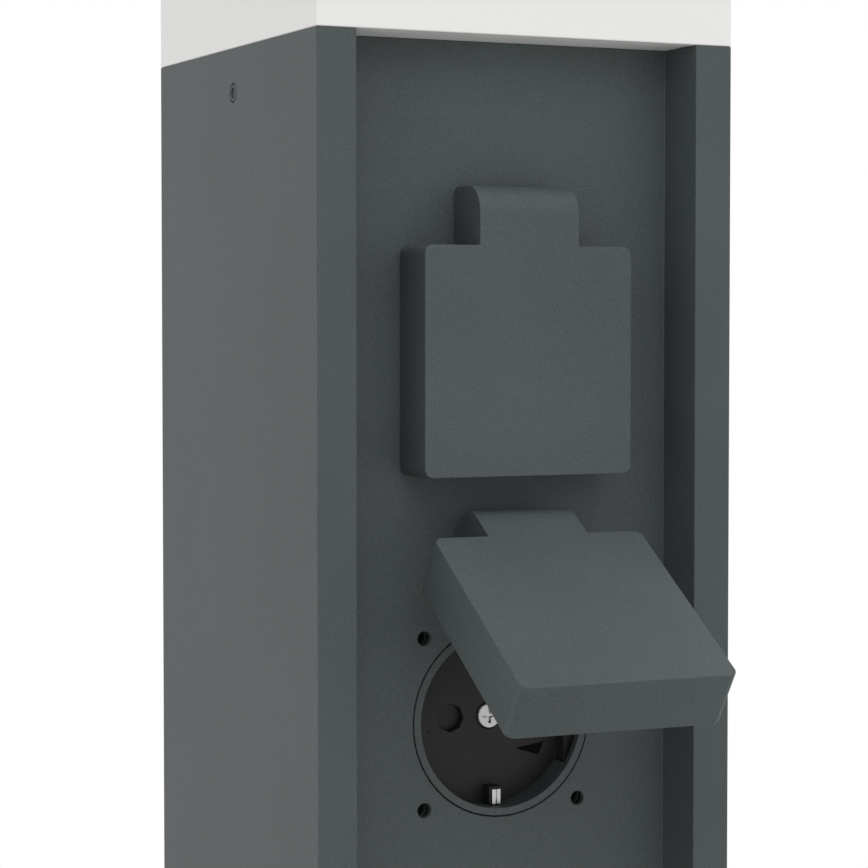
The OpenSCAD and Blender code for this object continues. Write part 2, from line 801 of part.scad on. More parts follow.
// Set screws that lock the head, flush with the sides of the post
module set_screws() {
    color(slate) for (s = [0, 1]) translate([0, 0, z_head - set_screw_drop]) mirror([s, 0, 0])
        difference() {
            bar_x(set_screw_r, -half, -inner_x + head_tab_t);
            translate([-half - eps, 0, 0]) rotate([0, 90, 0])
                cylinder(r = set_screw_r * 0.7, h = 2.2, $fn = 6);
        }
}

// Aluminium lamp plate, circuit board, light chips and their screws
module lamp_plate() {
    color("#c4c7c9") difference() {
        translate([0, 0, lamp_plate_z]) round_plate(lamp_plate_w, 4, lamp_plate_t);
        four_xy(pillar_x) translate([0, 0, lamp_plate_z - 1])
            cylinder(r = m3_r + 0.1, h = lamp_plate_t + 2);
    }
}

module lamp_board() {
    color("#f2f2ee") difference() {
        translate([0, 0, board_z]) round_plate(board_w, 3, board_t);
        four_xy(pillar_x) translate([0, 0, board_z - 1]) cylinder(r = m3_r + 0.1, h = board_t + 2);
    }
}

module lamp_chips() {
    color("#f0c93a") for (a = [0 : chip_rows - 1]) for (b = [0 : chip_rows - 1])
        translate([(a - (chip_rows - 1) / 2) * chip_pitch - chip_w / 2,
            (b - (chip_rows - 1) / 2) * chip_pitch - chip_w / 2, chip_z]) cube([chip_w, chip_w, chip_t]);
}

module lamp_screws() {
    color("silver") four_xy(pillar_x) translate([0, 0, chip_z])
        pan_screw(m3_r, m3_head_r, m3_head_t, board_t + lamp_plate_t + 4.5);
}

// Lamp driver under the head base, held by its two ears
module driver() {
    color("#e4e4e0") difference() {
        union() {
            block([-driver_size[0] / 2, driver_y - driver_size[1] / 2, z_head - driver_size[2]],
                [driver_size[0] / 2, driver_y + driver_size[1] / 2, z_head]);
            block([-driver_size[0] / 2 - ear_w, driver_y - 8, z_head - ear_t],
                [driver_size[0] / 2 + ear_w, driver_y + 8, z_head]);
        }
        for (s = [-1, 1]) translate([s * (driver_size[0] + ear_w) / 2, driver_y, z_head - ear_t - 1])
            cylinder(r = m3_r + 0.1, h = ear_t + 2);
    }
}

module driver_screws() {
    color("silver") for (s = [-1, 1])
        translate([s * (driver_size[0] + ear_w) / 2, driver_y, z_head - ear_t])
            rotate([180, 0, 0]) pan_screw(m3_r, m3_head_r, m3_head_t, ear_t + head_base_t - 1.5);
}

// Carrier: casting behind the channel floor with the collar, the rear tube and the hinge knuckle
module carrier() {
    color(slate) difference() {
        union() {
            slab(carrier_half, carrier_d, carrier_back, -carrier_low, carrier_high);
            bar_y(collar_r, panel_d, carrier_back);
            bar_y(skirt_out, carrier_back - eps, skirt_end);
            at_studs() bar_y(stud_pad_r, panel_back, carrier_back);
            translate([0, 0, pivot_over_socket]) knuckle();
        }
        bar_y(plug_r, panel_d - 1, skirt_end + 1);
        bar_y(skirt_in, floor_d, skirt_end + 1);
        for (a = [0, 180]) rotate([0, a, 0]) notch();
        at_studs() bar_y(stud_r + loose, panel_back - 1, carrier_back + 1);
        four_xz(hole_pitch / 2) bar_y(hole_r, carrier_d - 1, carrier_back + 1);
        four_xz(box_hole) bar_y(m3_r + thread_gap, carrier_back - carrier_t + 0.5, carrier_back + 1);
        translate([0, front_y + pivot_d, pivot_over_socket])
            bar_x(hinge_pin_r + run_gap, -knuckle_w, knuckle_w);
    }
}

// Guide notch in the collar, below its front rim
module notch() {
    intersection() {
        bar_y(skirt_in + 0.3, floor_d - notch_rise, floor_d + eps);
        translate([0, front_y + floor_d - notch_rise, 0]) rotate([-90, 0, 0])
            linear_extrude(notch_rise + 1)
                wedge(skirt_in + 2, notch_angle);
    }
}

// A flat wedge along +X, its point at the origin, given by its length and half angle
module wedge(len, angle) {
    polygon([[0, 0], [len, -len * tan(angle)], [len, len * tan(angle)]]);
}

module knuckle() {
    translate([0, front_y + pivot_d, 0]) bar_x(knuckle_r, -knuckle_w / 2, knuckle_w / 2);
    slab(knuckle_w / 2, pivot_d, carrier_d + eps, -neck_low, neck_high);
}

// Flat rubber seal between channel floor and carrier
module panel_seal() {
    color("#1c1c1c") difference() {
        slab(seal_half, panel_back, carrier_d, -seal_half, seal_half);
        bar_y(seal_bore_r, panel_back - 1, carrier_d + 1);
        four_xz(hole_pitch / 2) bar_y(hole_r + 0.4, panel_back - 1, carrier_d + 1);
    }
}

// Insert: the black face the plug meets, with its rim, guide ribs and clip posts
module insert() {
    color("#262626") difference() {
        union() {
            bar_y(insert_r, floor_d, floor_d + insert_front_t);
            tube_y(insert_r, insert_r - insert_rim, floor_d, floor_d + insert_len);
            bar_y(boss_r, floor_d, base_d - 0.2);
            intersection() {
                bar_y(insert_r, floor_d - rib_rise, floor_d + 1);
                union() for (s = [-1, 1]) translate([s * (rib_x + 5), 0, 0])
                    slab(5, floor_d - rib_rise, floor_d + 1, -rib_half, rib_half);
            }
            for (s = [-1, 1]) translate([0, 0, s * tongue_z])
                slab(clip_post_w / 2, floor_d - clip_rise + clip_t, floor_d + 1,
                    -clip_post_h / 2, clip_post_h / 2);
        }
        bar_y(centre_screw_r + loose, floor_d - 1, base_d + 1);
        bar_y(centre_head_r + 0.1, floor_d - 1, floor_d + 0.6);
        for (s = [-1, 1]) translate([s * pin_pitch / 2, front_y + floor_d - 1, 0]) rotate([-90, 0, 0])
            cylinder(r = pin_hole_r, h = insert_front_t + 2, $fn = 8);
        for (s = [-1, 1]) translate([0, 0, s * tongue_z])
            slab(tongue_w / 2 + 0.15, floor_d - clip_rise - 1, base_d,
                -tongue_h / 2 - 0.15, tongue_h / 2 + 0.15);
        face_mark(right_mark);
        face_mark(left_mark);
    }
}

// Wedge-shaped window in the insert's face
module face_mark(points) {
    translate([0, front_y + floor_d + insert_front_t + 1, 0]) rotate([90, 0, 0])
        linear_extrude(insert_front_t + 2) polygon(points);
}

// Shutter: a disc with two blades that close the pin holes, turning on the insert's boss
module shutter() {
    d0 = floor_d + insert_front_t + shutter_gap;
    color("#2b2b2b") {
        tube_y(boss_r + 2.5, boss_r + run_gap, d0, d0 + shutter_t);
        intersection() {
            tube_y(shutter_reach, boss_r + 1, d0, d0 + shutter_t);
            translate([0, front_y + d0, 0]) rotate([-90, 0, 0]) linear_extrude(shutter_t)
                for (s = [0, 1]) mirror([s, 0]) wedge(shutter_reach + 1, shutter_half);
        }
    }
}

// Base: the moulded terminal body behind the insert
module base() {
    shoulder_d = floor_d + insert_len;
    color("#d8d4c8") difference() {
        union() {
            bar_y(base_r, base_d, skirt_end);
            bar_y(insert_r, shoulder_d, skirt_end);
            bar_y(skirt_out, skirt_end, skirt_end + base_flange_t);
            bar_y(base_body_r, skirt_end, skirt_end + base_flange_t + base_len);
        }
        for (s = [-1, 1]) translate([s * pin_pitch / 2, 0, 0]) {
            bar_y(pin_bore_r, base_d - 1, contact_d + 1);
            bar_y(contact_r + 0.1, contact_d, contact_d + contact_len + 1);
        }
        bar_y(centre_screw_r + 0.3, base_d - 1, base_d + 10);
        slab(strap_half + loose, base_d - 1, base_d + strap_t + loose, -clip_out, clip_out);
    }
}

// Centre screw that holds the insert to the earth strap
module centre_screw() {
    color("#b8b8b8") translate([0, front_y + floor_d + 0.6, 0]) rotate([90, 0, 0])
        pan_screw(centre_screw_r, centre_head_r, centre_head_t, base_d - floor_d + strap_t + 3);
}

// Earth strap: a steel strip with a folded clip at each end
module earth_strap() {
    reach = tongue_z + tongue_h / 2;
    color("#c8c8c8") {
        difference() {
            slab(strap_half, base_d, base_d + strap_t, -reach, reach);
            bar_y(centre_screw_r + thread_gap, base_d - 1, base_d + strap_t + 1);
        }
        for (s = [-1, 1]) {
            translate([0, 0, s * tongue_z])
                slab(tongue_w / 2, floor_d - clip_rise + clip_t - eps, base_d + eps,
                    -tongue_h / 2, tongue_h / 2);
            translate([0, 0, s * (clip_out - clip_h / 2)]) difference() {
                slab(clip_w / 2, floor_d - clip_rise, floor_d - clip_rise + clip_t,
                    -clip_h / 2, clip_h / 2);
                slab(0.12, floor_d - clip_rise - 1, floor_d - clip_rise + 0.25, -clip_h, clip_h);
            }
        }
    }
}

// Contact sleeves: slit brass tubes with a closed back end
module contacts() {
    color("#b59a4c") for (s = [-1, 1]) translate([s * pin_pitch / 2, 0, 0]) difference() {
        bar_y(contact_r, contact_d + 0.2, contact_d + contact_len);
        bar_y(contact_mouth_r, contact_d, contact_d + contact_mouth);
        bar_y(grip_r, contact_d, contact_d + contact_len - 2);
        slab(0.3, contact_d, contact_d + contact_len - 4, 0, contact_r + 1);
    }
}

// Rear box: round cup that seals the back of a socket and clamps its base
module rear_box(link_side) {
    clamp_d = skirt_end + base_flange_t + 0.1;
    color("#1e1e1e") difference() {
        union() {
            slab(box_flange, carrier_back, carrier_back + box_flange_t, -box_flange, box_flange);
            bar_y(box_out_r, carrier_back, box_back);
        }
        bar_y(box_in_r, carrier_back - 1, clamp_d);
        bar_y(skirt_out - 2.5, clamp_d - 1, box_back - 2);
        four_xz(hole_pitch / 2) bar_y(hole_r - 0.35, carrier_back - 1, carrier_back + box_flange_t + 1);
        four_xz(box_hole) bar_y(m3_r + 0.1, carrier_back - 1, carrier_back + box_flange_t + 1);
        translate([0, 0, link_side * link_entry]) bar_y(lead_r + loose, box_back - 3, box_back + 1);
        if (link_side > 0)
            translate([-outlet_x, 0, lead_entry]) bar_y(lead_r + loose, box_back - 3, box_back + 1);
    }
}

// Screws of both rear boxes, four to a box
module rear_box_screws() {
    color("silver") for (i = [0, 1]) at_socket(i) four_xz(box_hole)
        translate([0, front_y + carrier_back + box_flange_t, 0]) rotate([-90, 0, 0])
            pan_screw(m3_r, m3_head_r, m3_head_t, box_flange_t + carrier_t - 0.8);
}

// Flap, drawn shut with the hinge pin's axis at the origin
gasket_r = (plug_r + collar_r) / 2;
gasket_w = 1.2;
gasket_t = 1.6;
flap_y0 = flap_inset - pivot_d;
flap_y1 = barrel_r;
flap_z1 = -pivot_up;
flap_z0 = -pivot_up - flap_w;
ring_z = -pivot_over_socket;

module flap_ring(ro, ri, y0, y1) {
    translate([0, -front_y, ring_z]) tube_y(ro, ri, y0, y1);
}

module flap() {
    tab_y = flap_y0 + tab_front_r;
    tab_z = barrel_r - tab_front_r;
    color(slate) difference() {
        union() {
            difference() {
                translate([0, flap_y1, (flap_z0 + flap_z1) / 2]) rotate([90, 0, 0])
                    round_plate(flap_w, flap_corner_r, flap_y1 - flap_y0);
                block([-flap_w / 2 + flap_wall, flap_y0 + flap_wall + 0.3, flap_z0 + flap_wall],
                    [flap_w / 2 - flap_wall, flap_y1 + 1, flap_z1 - flap_wall]);
            }
            flap_ring(gasket_r + gasket_w / 2 + 0.75, gasket_r - gasket_w / 2 - 0.75,
                flap_y0 + flap_wall, flap_y1);
            block([-tab_w / 2, flap_y0, flap_z1 - 1], [tab_w / 2, flap_y1, tab_z]);
            block([-tab_w / 2, tab_y, tab_z - eps], [tab_w / 2, flap_y1, 0]);
            block([-tab_w / 2, tab_y, -eps], [tab_w / 2, 0, barrel_r]);
            translate([0, tab_y, tab_z]) bar_x(tab_front_r, -tab_w / 2, tab_w / 2);
            bar_x(barrel_r, -tab_w / 2, tab_w / 2);
        }
        flap_ring(gasket_r + gasket_w / 2 + 0.05, gasket_r - gasket_w / 2 - 0.05,
            flap_y1 - gasket_t, flap_y1 + 1);
        block([-tab_slot, -barrel_r - slot_gap, -barrel_r - slot_gap],
            [tab_slot, flap_y1 + 1, barrel_r + 1]);
        bar_x(hinge_pin_r + 0.01, -tab_w / 2 + 3, tab_w / 2 + 1);
    }
}

// Rubber ring in the flap's back that meets the socket collar
module flap_gasket() {
    color("#1c1c1c") flap_ring(gasket_r + gasket_w / 2, gasket_r - gasket_w / 2,
        flap_y1 - gasket_t, flap_y1 + flap_gap / 2);
}

// Hinge pin, driven in from the right-hand side of the tab
module hinge_pin() {
    color("silver") bar_x(hinge_pin_r, -tab_w / 2 + 3.1, tab_w / 2 - 0.6);
}

// Friction washers on both sides of the knuckle
module hinge_washers() {
    color("#e9e4d4") for (s = [-1, 1]) mirror([s > 0 ? 0 : 1, 0, 0]) difference() {
        bar_x(knuckle_r, knuckle_w / 2 + washer_gap, knuckle_w / 2 + washer_gap + washer_t);
        bar_x(hinge_pin_r + run_gap, knuckle_w / 2 - 1, knuckle_w / 2 + 2);
    }
}

post();
panel_studs();
carrier_nuts();
foot_plate();
foot_seal();
foot_screws();
cable_grommet();
rail();
rail_screws();
junction_box();
junction_cover();
junction_screws();
terminal_block();
terminal_screws();
supply_gland();
outlet_grommets();
earth_stud();
earth_lead();
socket_leads();
lamp_leads();
head_base();
hood();
hood_seal();
hood_screws();
set_screws();
lamp_plate();
lamp_board();
lamp_chips();
lamp_screws();
driver();
driver_screws();
rear_box_screws();
at_socket(0) carrier();  // upper_carrier
at_socket(0) panel_seal();  // upper_panel_seal
at_socket(0) insert();  // upper_insert
at_socket(0) shutter();  // upper_shutter
at_socket(0) base();  // upper_base
at_socket(0) centre_screw();  // upper_centre_screw
at_socket(0) earth_strap();  // upper_earth_strap
at_socket(0) contacts();  // upper_contacts
at_socket(0) rear_box(-1);  // upper_rear_box
at_hinge(0) flap();  // upper_flap
at_hinge(0) flap_gasket();  // upper_flap_gasket
at_hinge(0) hinge_pin();  // upper_hinge_pin
at_hinge(0) hinge_washers();  // upper_hinge_washers
at_socket(1) carrier();  // lower_carrier
at_socket(1) panel_seal();  // lower_panel_seal
at_socket(1) insert();  // lower_insert
at_socket(1) shutter();  // lower_shutter
at_socket(1) base();  // lower_base
at_socket(1) centre_screw();  // lower_centre_screw
at_socket(1) earth_strap();  // lower_earth_strap
at_socket(1) contacts();  // lower_contacts
at_socket(1) rear_box(1);  // lower_rear_box
at_hinge(1) flap();  // lower_flap
at_hinge(1) flap_gasket();  // lower_flap_gasket
at_hinge(1) hinge_pin();  // lower_hinge_pin
at_hinge(1) hinge_washers();  // lower_hinge_washers
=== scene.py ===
import math
import bmesh
import bpy
from mathutils import Matrix, Vector


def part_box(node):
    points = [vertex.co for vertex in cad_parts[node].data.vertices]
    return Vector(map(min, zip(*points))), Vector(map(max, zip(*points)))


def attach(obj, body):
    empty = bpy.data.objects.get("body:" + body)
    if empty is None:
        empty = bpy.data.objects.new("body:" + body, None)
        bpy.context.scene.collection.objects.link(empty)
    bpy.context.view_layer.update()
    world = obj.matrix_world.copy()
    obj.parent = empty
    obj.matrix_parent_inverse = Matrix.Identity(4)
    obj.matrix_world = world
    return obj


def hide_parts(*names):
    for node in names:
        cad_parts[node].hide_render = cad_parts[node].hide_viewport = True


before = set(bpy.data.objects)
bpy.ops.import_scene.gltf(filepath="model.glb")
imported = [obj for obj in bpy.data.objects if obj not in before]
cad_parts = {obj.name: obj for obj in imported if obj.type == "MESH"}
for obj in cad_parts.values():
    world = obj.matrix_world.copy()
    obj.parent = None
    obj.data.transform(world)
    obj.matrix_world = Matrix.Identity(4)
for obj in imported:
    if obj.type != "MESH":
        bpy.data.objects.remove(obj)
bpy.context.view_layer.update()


# Camera: the photograph's own view, a long lens level with the upper flap and tilted a little down.
# Its place and direction were solved from the edges of the post, and its height hangs from the head.
MM = 0.001
PHOTO_PX = 868
FOCAL_PX = 2642.7
SENSOR = 36
CAMERA_LEFT = 258.8 * MM
CAMERA_AHEAD = 561.69 * MM
CAMERA_BELOW_HEAD = 62.19 * MM
YAW = math.radians(24.725)
PITCH = math.radians(-2.361)
lens = bpy.data.cameras.new("camera")
lens.sensor_width = SENSOR
lens.lens = FOCAL_PX * SENSOR / PHOTO_PX
camera = bpy.data.objects.new("camera", lens)
head_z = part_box("hood")[0].z
camera.location = (-CAMERA_LEFT, -CAMERA_AHEAD, head_z - CAMERA_BELOW_HEAD)
camera.rotation_euler = (math.radians(90) + PITCH, 0, -YAW)
bpy.context.scene.collection.objects.link(camera)
bpy.context.scene.camera = camera
bpy.context.scene.view_settings.view_transform = "Standard"


# Studio: a white surround, a pale floor that fades into it, and soft lamps above and in front.
# The surround is the white that the photograph has behind the post and in its reflections.
def node_adder(tree):
    """A function that adds a node to a tree and sets its values."""
    def add(kind, **values):
        made = tree.nodes.new(kind)
        for key, value in values.items():
            if key in made.bl_rna.properties:
                setattr(made, key, value)
            else:
                made.inputs[key.replace("_", " ")].default_value = value
        return made

    return add


def tree_of(owner):
    """An emptied node tree, with the function that adds nodes to it."""
    owner.use_nodes = True
    owner.node_tree.nodes.clear()
    return owner.node_tree, node_adder(owner.node_tree)


WHITE = (1, 1, 1, 1)
SURROUND = 0.8
world = bpy.data.worlds.new("studio")
tree, add = tree_of(world)
dim = add("ShaderNodeBackground", Color=WHITE, Strength=SURROUND)
bright = add("ShaderNodeBackground", Color=WHITE, Strength=1)
path = add("ShaderNodeLightPath")
seen = path.outputs["Is Camera Ray"]
for other in ("Is Glossy Ray", "Is Transmission Ray"):
    either = add("ShaderNodeMath", operation="MAXIMUM")
    tree.links.new(seen, either.inputs[0])
    tree.links.new(path.outputs[other], either.inputs[1])
    seen = either.outputs[0]
backdrop = add("ShaderNodeMixShader")
tree.links.new(seen, backdrop.inputs[0])
tree.links.new(dim.outputs[0], backdrop.inputs[1])
tree.links.new(bright.outputs[0], backdrop.inputs[2])
out = add("ShaderNodeOutputWorld")
tree.links.new(backdrop.outputs[0], out.inputs["Surface"])
bpy.context.scene.world = world

FLOOR_R = 1.2
FADE_FROM = 0.45
FLOOR_GREY = (0.64, 0.64, 0.635, 1)
bm = bmesh.new()
bmesh.ops.create_circle(bm, cap_ends=True, segments=96, radius=FLOOR_R)
floor_mesh = bpy.data.meshes.new("floor")
bm.to_mesh(floor_mesh)
bm.free()
floor = bpy.data.objects.new("floor", floor_mesh)
bpy.context.scene.collection.objects.link(floor)
floor_paint = bpy.data.materials.new("floor_paint")
tree, add = tree_of(floor_paint)
paint = add("ShaderNodeBsdfPrincipled", Base_Color=FLOOR_GREY, Roughness=0.8)
away = add("ShaderNodeVectorMath", operation="LENGTH")
tree.links.new(add("ShaderNodeTexCoord").outputs["Object"], away.inputs[0])
fade = add("ShaderNodeMapRange", interpolation_type="SMOOTHSTEP", From_Min=FADE_FROM, From_Max=FLOOR_R)
tree.links.new(away.outputs["Value"], fade.inputs["Value"])
clear = add("ShaderNodeBsdfTransparent")
faded = add("ShaderNodeMixShader")
tree.links.new(fade.outputs["Result"], faded.inputs[0])
tree.links.new(paint.outputs[0], faded.inputs[1])
tree.links.new(clear.outputs[0], faded.inputs[2])
out = add("ShaderNodeOutputMaterial")
tree.links.new(faded.outputs[0], out.inputs["Surface"])
floor_mesh.materials.append(floor_paint)

# name, place, width, depth and watts
LAMPS = [
    ("key", (-0.4, -1.9, 1.75), 1.6, 1.2, 9),
    ("overhead", (-0.5, -1.3, 4.9), 3.2, 3.2, 50),
]
LAMPS_AIM = Vector((0, 0, 0.6))
for name, place_at, wide, deep, watts in LAMPS:
    data = bpy.data.lights.new(name, "AREA")
    data.shape = "RECTANGLE"
    data.size = wide
    data.size_y = deep
    data.energy = watts
    lamp = bpy.data.objects.new(name, data)
    lamp.location = place_at
    lamp.rotation_euler = (LAMPS_AIM - lamp.location).to_track_quat("-Z", "Y").to_euler()
    bpy.context.scene.collection.objects.link(lamp)


# Post: one aluminium extrusion, saw-cut and drilled, then powder-coated in slate grey.
# The coat is a fine matt grain that rounds every edge by a few tenths of a millimetre.
MERGED = 0.002 * MM
FLAT = math.radians(0.2)
SHARP = math.radians(32)
BROAD_SHARE = 0.35
GLOSS_DRIFT = 0.05


def worked_copy(node):
    """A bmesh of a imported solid, its loose triangles merged back into flat and round faces."""
    bm = bmesh.new()
    bm.from_mesh(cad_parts[node].data)
    bmesh.ops.remove_doubles(bm, verts=bm.verts, dist=MERGED)
    bmesh.ops.dissolve_limit(bm, angle_limit=FLAT, verts=bm.verts, edges=bm.edges)
    bmesh.ops.connect_verts_concave(bm, faces=bm.faces)
    return bm


def place(bm, name, body, material, nodes=(), edge=0.0, segments=2):
    """Makes a piece of a bmesh: its body, finish, edges broken in millimetres, and what it replaces."""
    mesh = bpy.data.meshes.new(name)
    bm.to_mesh(mesh)
    bm.free()
    mesh.shade_smooth()
    mesh.materials.append(material)
    piece = bpy.data.objects.new(name, mesh)
    bpy.context.scene.collection.objects.link(piece)
    if edge:
        bevel = piece.modifiers.new("broken_edges", "BEVEL")
        bevel.width = edge * MM
        bevel.segments = segments
        bevel.limit_method = "ANGLE"
        bevel.angle_limit = SHARP
        bevel.use_clamp_overlap = False
        bevel.loop_slide = False
        even = piece.modifiers.new("even_faces", "WEIGHTED_NORMAL")
        even.mode = "FACE_AREA"
        even.weight = 100
        even.keep_sharp = False
    else:
        mesh.set_sharp_from_angle(angle=SHARP)
    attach(piece, body)
    if nodes:
        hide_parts(*nodes)


def worked(node, name, body, material, edge, segments=2):
    """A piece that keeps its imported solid's form and gets its finish, and edges broken in millimetres."""
    place(worked_copy(node), name, body, material, [node], edge, segments)


def surface(name, colour, rough, metal=0.0, grain=2400, relief=0.03, mottle=0.05, patch=30,
            stretch=(1, 1, 1), cells=0.0, **more):
    """A finish with a fine grain in its relief, and small drifts of colour and gloss."""
    made = bpy.data.materials.new(name)
    tree, add = tree_of(made)
    turn = add("ShaderNodeMapping", Scale=stretch)
    tree.links.new(add("ShaderNodeTexCoord").outputs["Object"], turn.inputs["Vector"])
    fine = add("ShaderNodeTexNoise", Scale=grain, Detail=3, Roughness=0.6)
    broad = add("ShaderNodeTexNoise", Scale=patch, Detail=4, Roughness=0.5)
    for noise in (fine, broad):
        tree.links.new(turn.outputs[0], noise.inputs["Vector"])
    height = fine.outputs["Fac"]
    if cells:
        pebble = add("ShaderNodeTexVoronoi", feature="SMOOTH_F1", Scale=cells, Randomness=1)
        tree.links.new(turn.outputs[0], pebble.inputs["Vector"])
        joined = add("ShaderNodeMath", operation="ADD")
        tree.links.new(height, joined.inputs[0])
        tree.links.new(pebble.outputs["Distance"], joined.inputs[1])
        height = joined.outputs[0]
    both = add("ShaderNodeMix", data_type="FLOAT")
    both.inputs[0].default_value = BROAD_SHARE
    tree.links.new(fine.outputs["Fac"], both.inputs[2])
    tree.links.new(broad.outputs["Fac"], both.inputs[3])
    ramp = add("ShaderNodeValToRGB")
    low, high = ramp.color_ramp.elements
    low.position, high.position = 0.3, 0.7
    low.color = (*[c * (1 - mottle) for c in colour], 1)
    high.color = (*[min(1, c * (1 + mottle)) for c in colour], 1)
    tree.links.new(both.outputs[0], ramp.inputs[0])
    gloss = add("ShaderNodeMapRange", To_Min=rough - GLOSS_DRIFT, To_Max=rough + GLOSS_DRIFT)
    tree.links.new(broad.outputs["Fac"], gloss.inputs["Value"])
    bump = add("ShaderNodeBump", Strength=1, Distance=relief * MM)
    tree.links.new(height, bump.inputs["Height"])
    shader = add("ShaderNodeBsdfPrincipled", Metallic=metal, **more)
    tree.links.new(ramp.outputs["Color"], shader.inputs["Base Color"])
    tree.links.new(gloss.outputs["Result"], shader.inputs["Roughness"])
    tree.links.new(bump.outputs["Normal"], shader.inputs["Normal"])
    out = add("ShaderNodeOutputMaterial")
    tree.links.new(shader.outputs[0], out.inputs["Surface"])
    return made


SLATE = (0.069, 0.0815, 0.0825)
slate_coat = surface("slate_coat", SLATE, 0.5, grain=2300, relief=0.055, mottle=0.3, patch=18,
    cells=1700, Specular_IOR_Level=0.22)
worked("post", "post_profile", "root", slate_coat, 0.25)


# Screws: spun from their outlines with a real thread, each head with its own driver's recess.
# They are stainless or plated steel, and the brass ones belong to the terminal strip.
WELD = 0.0004 * MM
UP, DOWN = (0, 0, 1), (0, 0, -1)
FRONT, BACK = (0, -1, 0), (0, 1, 0)
# A thread's depth is a share of its pitch. A screw's parts reach into each other by the overlap.
THREAD_DEPTH = 0.55
THREAD_STEPS = 20
OVERLAP = 0.01
M3_PITCH, M4_PITCH, M6_PITCH = 0.5, 0.7, 1


def islands(node):
    """The boxes of a node's separate solids, as pairs of corners, in order along X, Y and Z."""
    bm = worked_copy(node)
    left = set(bm.verts)
    boxes = []
    while left:
        found = [left.pop()]
        for vert in found:
            for edge in vert.link_edges:
                other = edge.other_vert(vert)
                if other in left:
                    left.remove(other)
                    found.append(other)
        spans = [[v.co[k] for v in found] for k in range(3)]
        boxes.append((Vector([min(s) for s in spans]), Vector([max(s) for s in spans])))
    bm.free()
    return sorted(boxes, key=lambda pair: [round(c, 5) for c in pair[0]])


def verts_in(parts):
    """The vertices in an operator's result."""
    return [part for part in parts if isinstance(part, bmesh.types.BMVert)]


def edges_in(parts):
    """The edges in an operator's result."""
    return [part for part in parts if isinstance(part, bmesh.types.BMEdge)]


def turned(outline, steps=32, rise=0):
    """A shape spun once round Z, rising if asked, from (radius, height) pairs in millimetres."""
    bm = bmesh.new()
    line = [bm.verts.new((r * MM, 0, z * MM)) for r, z in outline]
    line += [bm.edges.new(pair) for pair in zip(line, line[1:])]
    bmesh.ops.spin(bm, geom=line, axis=UP, angle=math.tau, steps=steps, dvec=(0, 0, rise * MM / steps),
        use_merge=not rise)
    bmesh.ops.remove_doubles(bm, verts=bm.verts, dist=WELD)
    return bm


def threaded(r, pitch, low, high):
    """A V thread round Z: a zigzag that rises by one pitch as it is spun, cut flat at both heights."""
    reach = (r - THREAD_DEPTH * pitch, r)
    half_pitches = 2 * (math.ceil((high - low) / pitch) + 2)
    zigzag = [(reach[k % 2], low + (k / 2 - 1) * pitch) for k in range(half_pitches + 1)]
    bm = turned(zigzag, THREAD_STEPS, rise=pitch)
    for z, outwards in ((low, DOWN), (high, UP)):
        whole = bm.verts[:] + bm.edges[:] + bm.faces[:]
        cut = bmesh.ops.bisect_plane(bm, geom=whole, dist=WELD, plane_co=(0, 0, z * MM),
            plane_no=outwards, clear_outer=True)
        bmesh.ops.edgeloop_fill(bm, edges=edges_in(cut["geom_cut"]))
    return bm


def recess_outline(drive, size):
    """The outline of a driver's recess round the origin, which reaches out by its size."""
    if drive == "hex":
        return [(size * math.cos(math.pi / 3 * k), size * math.sin(math.pi / 3 * k)) for k in range(6)]
    half_w = 0.2 * size
    if drive == "slot":
        return [(-size, -half_w), (size, -half_w), (size, half_w), (-size, half_w)]
    inner = 0.36 * size
    arm = [(size, -half_w), (size, half_w), (inner, half_w), (half_w, inner)]
    quarters = ((1, 0), (0, 1), (-1, 0), (0, -1))
    return [(x * c - y * s, x * s + y * c) for c, s in quarters for x, y in arm]


def driven(outline, drive, size, depth):
    """A head turned from its outline, with a driver's recess sunk into its flat top."""
    bm = turned(outline)
    top = [edge for edge in bm.edges if edge.is_boundary]
    z = outline[-1][1] * MM
    mouth = [bm.verts.new((x * MM, y * MM, z)) for x, y in recess_outline(drive, size)]
    rim = [bm.edges.new((mouth[k - 1], mouth[k])) for k in range(len(mouth))]
    bmesh.ops.triangle_fill(bm, edges=top + rim, use_beauty=True, use_dissolve=False)
    sides = bmesh.ops.extrude_edge_only(bm, edges=rim)["geom"]
    taper = 0.75 if drive == "cross" else 1
    bmesh.ops.scale(bm, verts=verts_in(sides), vec=(taper, taper, 1))
    bmesh.ops.translate(bm, verts=verts_in(sides), vec=(0, 0, -depth * MM))
    bmesh.ops.edgeloop_fill(bm, edges=[edge for edge in edges_in(sides) if edge.is_boundary])
    return bm


def tip_of(r, end, neck, wide, long):
    """A plain tip that narrows from a thread's root to the screw's end."""
    inside = end + long + OVERLAP
    return turned([(0, end), (neck * r, end), (wide * r, inside), (0, inside)], THREAD_STEPS)


def frame_at(point, towards):
    """A matrix at a point whose local Z looks towards a direction."""
    return Matrix.Translation(point) @ Vector(towards).to_track_quat("Z", "Y").to_matrix().to_4x4()


def add_to(bm, at, *shapes):
    """Sets finished shapes down at a place in a piece, and uses them up."""
    for shape in shapes:
        shape.transform(at)
        carried = bpy.data.meshes.new("carried")
        shape.to_mesh(carried)
        shape.free()
        bm.from_mesh(carried)
        bpy.data.meshes.remove(carried)


def place_screws(bm, name, material, node):
    """Makes a piece of all the screws in a bmesh, their faces turned outwards."""
    bmesh.ops.dissolve_degenerate(bm, edges=bm.edges, dist=WELD / 2)
    bmesh.ops.recalc_face_normals(bm, faces=bm.faces)
    place(bm, name, "root", material, [node])


